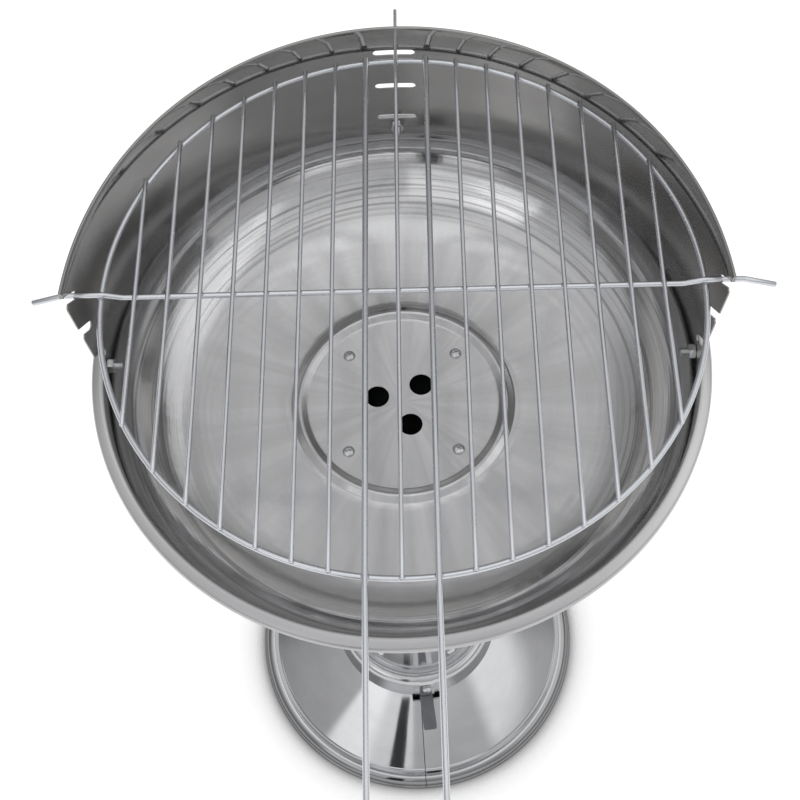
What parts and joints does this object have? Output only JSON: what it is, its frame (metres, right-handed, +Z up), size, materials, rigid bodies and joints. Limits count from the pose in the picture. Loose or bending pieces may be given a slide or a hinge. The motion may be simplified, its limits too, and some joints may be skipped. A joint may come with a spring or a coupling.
{
  "type": "charcoal grill",
  "caption": "Pedestal charcoal grill: cone foot, column with air damper, deep round bowl, half-round windscreen and a lift-out wire grate with a long handle.",
  "frame": {"origin": "on the column's axis at the floor, in the plane of the foot's flat hem", "axes": "+Z up the column, -Y towards the front where the handle and the air lever point, +X to the right as seen from the front"},
  "size_m": [0.5074, 0.683, 0.7832],
  "materials": {
    "foot_cone_steel": "polished",
    "neck_collar_steel": "polished",
    "column_tube_steel": "polished",
    "fire_bowl_steel": "polished",
    "windscreen_steel": "polished",
    "inner_steel": "matte",
    "damper_steel": "satin",
    "zinc_fasteners": "satin",
    "inner_fasteners": "satin",
    "grate_wire": "satin"
  },
  "bodies": {
    "stand": {"foot_cone": "foot_cone_steel", "neck_collar": "neck_collar_steel", "collar_screw": "zinc_fasteners", "collar_nut": "inner_fasteners", "neck_sleeve": "inner_steel", "column_tube": "column_tube_steel", "column_screws": "zinc_fasteners", "column_nuts": "inner_fasteners", "column_head": "inner_steel", "damper_plate": "inner_steel", "damper_pivot": "inner_fasteners", "damper_washer": "inner_fasteners", "damper_nut": "inner_fasteners", "fire_bowl": "fire_bowl_steel", "bowl_screws": "zinc_fasteners", "bowl_nuts": "inner_fasteners", "windscreen": "windscreen_steel", "screen_bolts": "zinc_fasteners", "screen_nuts": "zinc_fasteners"},
    "grate": {"grate_ring": "grate_wire", "grate_cross_rod": "grate_wire", "grate_handle": "grate_wire", "grate_centre_rod": "grate_wire", "grate_rod_01": "grate_wire", "grate_rod_02": "grate_wire", "grate_rod_03": "grate_wire", "grate_rod_04": "grate_wire", "grate_rod_05": "grate_wire", "grate_rod_06": "grate_wire", "grate_rod_07": "grate_wire", "grate_rod_08": "grate_wire", "grate_rod_09": "grate_wire", "grate_rod_10": "grate_wire", "grate_rod_11": "grate_wire", "grate_rod_12": "grate_wire", "grate_rod_13": "grate_wire", "grate_rod_14": "grate_wire"},
    "damper": {"damper_disc": "damper_steel"}
  },
  "joints": [
    {"name": "grate_lift", "type": "hinge", "parent": "stand", "child": "grate", "pos_m": [0, 0.221, 0.9762], "axis": [-1, 0, 0], "range_deg": [0, 15]},
    {"name": "damper_turn", "type": "hinge", "parent": "stand", "child": "damper", "pos_m": [0, 0, 0.0572], "axis": [0, 0, 1], "range_deg": [-4.6, 4.6]}
  ]
}
